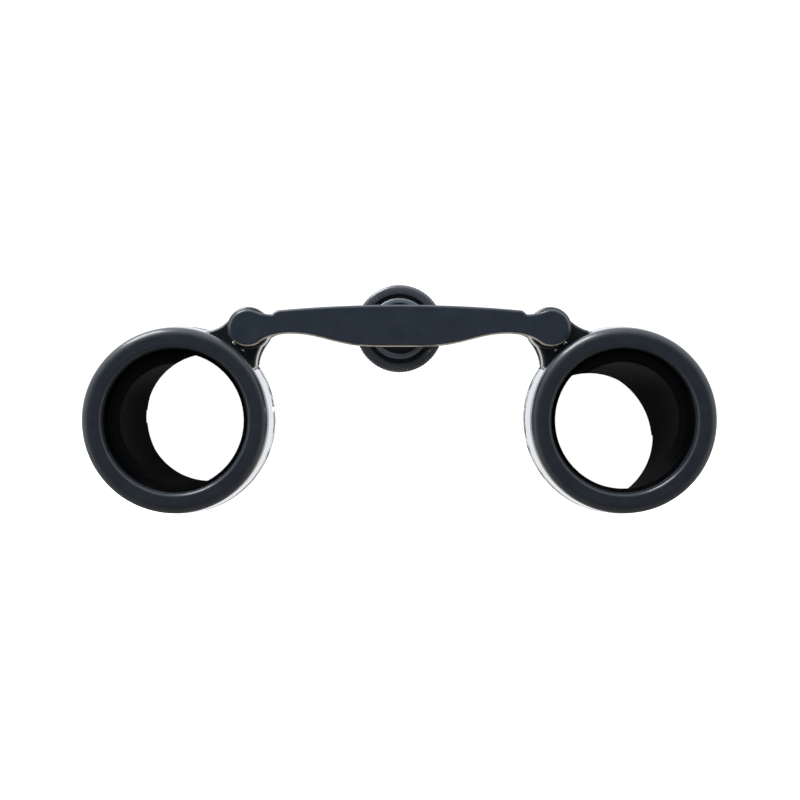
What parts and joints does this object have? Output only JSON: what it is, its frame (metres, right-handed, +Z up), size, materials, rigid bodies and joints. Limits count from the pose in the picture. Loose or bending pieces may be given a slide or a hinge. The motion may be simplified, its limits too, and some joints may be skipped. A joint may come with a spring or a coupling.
{
  "type": "folding opera glasses",
  "caption": "Small folding theatre binoculars with chrome barrel sleeves hung from a slim black bridge on hinged lugs, a centre focusing wheel and sliding eyepieces.",
  "frame": {"origin": "middle of the underside, on the surface that the two chrome sleeves rest on", "axes": "+X to the right seen from the objective end, +Y along the optical axes from the objectives to the eyepieces, +Z up"},
  "size_m": [0.1062, 0.0466, 0.0387],
  "materials": {
    "black_enamel": "satin",
    "ring_black": "satin",
    "gloss_black": "gloss",
    "inside_black": "matte",
    "eyecup_black": "satin",
    "chrome": "polished",
    "nickel": "satin",
    "steel": "satin",
    "brass": "satin",
    "glass": "polished"
  },
  "bodies": {
    "bridge_frame": {"front_bridge": "black_enamel", "rear_bridge": "black_enamel", "spindle_bush": "brass", "hinge_pin_left": "steel", "hinge_pin_right": "steel", "front_washer_left": "brass", "front_washer_right": "brass", "rear_washer_left": "brass", "rear_washer_right": "brass", "pin_cap_left": "nickel", "pin_cap_right": "nickel"},
    "focus_wheel": {"focus_wheel": "black_enamel", "wheel_collar": "gloss_black"},
    "eyepiece_carriage": {"eyepiece_bridge": "black_enamel", "focus_screw": "steel", "screw_nut": "nickel", "slide_bush_left": "brass", "slide_bush_right": "brass", "bush_clip_left": "steel", "bush_clip_right": "steel"},
    "barrel_left": {"barrel_housing_left": "black_enamel", "chrome_sleeve_left": "chrome", "stop_pin_left": "nickel", "lug_pin_left": "nickel", "objective_ring_left": "ring_black", "objective_lens_left": "glass", "objective_retainer_left": "ring_black", "guide_bush_left": "brass"},
    "eyepiece_left": {"ocular_arm_left": "black_enamel", "ocular_tube_left": "inside_black", "eye_cell_left": "inside_black", "eye_lens_left": "glass", "eye_retainer_left": "inside_black", "eyecup_left": "eyecup_black", "collar_screw_left": "steel"},
    "barrel_right": {"barrel_housing_right": "black_enamel", "chrome_sleeve_right": "chrome", "stop_pin_right": "nickel", "lug_pin_right": "nickel", "objective_ring_right": "ring_black", "objective_lens_right": "glass", "objective_retainer_right": "ring_black", "guide_bush_right": "brass"},
    "eyepiece_right": {"ocular_arm_right": "black_enamel", "ocular_tube_right": "inside_black", "eye_cell_right": "inside_black", "eye_lens_right": "glass", "eye_retainer_right": "inside_black", "eyecup_right": "eyecup_black", "collar_screw_right": "steel"}
  },
  "joints": [
    {"name": "eyepiece_slide", "type": "slide", "parent": "bridge_frame", "child": "eyepiece_carriage", "axis": [0, 1, 0], "range_m": [-0.0015, 0.0025]},
    {"name": "focus_wheel_spin", "type": "hinge", "parent": "bridge_frame", "child": "focus_wheel", "pos_m": [0, 0, 0.03135], "axis": [0, 1, 0], "range_deg": [-90.3, 150.3]},
    {"name": "barrel_fold_left", "type": "hinge", "parent": "bridge_frame", "child": "barrel_left", "pos_m": [-0.0252, 0, 0.03135], "axis": [0, -1, 0], "range_deg": [-3, 50]},
    {"name": "eyepiece_fold_left", "type": "hinge", "parent": "eyepiece_carriage", "child": "eyepiece_left", "pos_m": [-0.0252, 0, 0.03135], "axis": [0, -1, 0], "range_deg": [-3, 50]},
    {"name": "barrel_fold_right", "type": "hinge", "parent": "bridge_frame", "child": "barrel_right", "pos_m": [0.0252, 0, 0.03135], "axis": [0, 1, 0], "range_deg": [-3, 50]},
    {"name": "eyepiece_fold_right", "type": "hinge", "parent": "eyepiece_carriage", "child": "eyepiece_right", "pos_m": [0.0252, 0, 0.03135], "axis": [0, 1, 0], "range_deg": [-3, 50]}
  ],
  "couplings": [
    {"joint": "focus_wheel_spin", "follows": "eyepiece_slide", "rad_per_m": 1047.2},
    {"joint": "eyepiece_fold_left", "follows": "barrel_fold_left", "ratio": 1},
    {"joint": "eyepiece_fold_right", "follows": "barrel_fold_right", "ratio": 1}
  ]
}
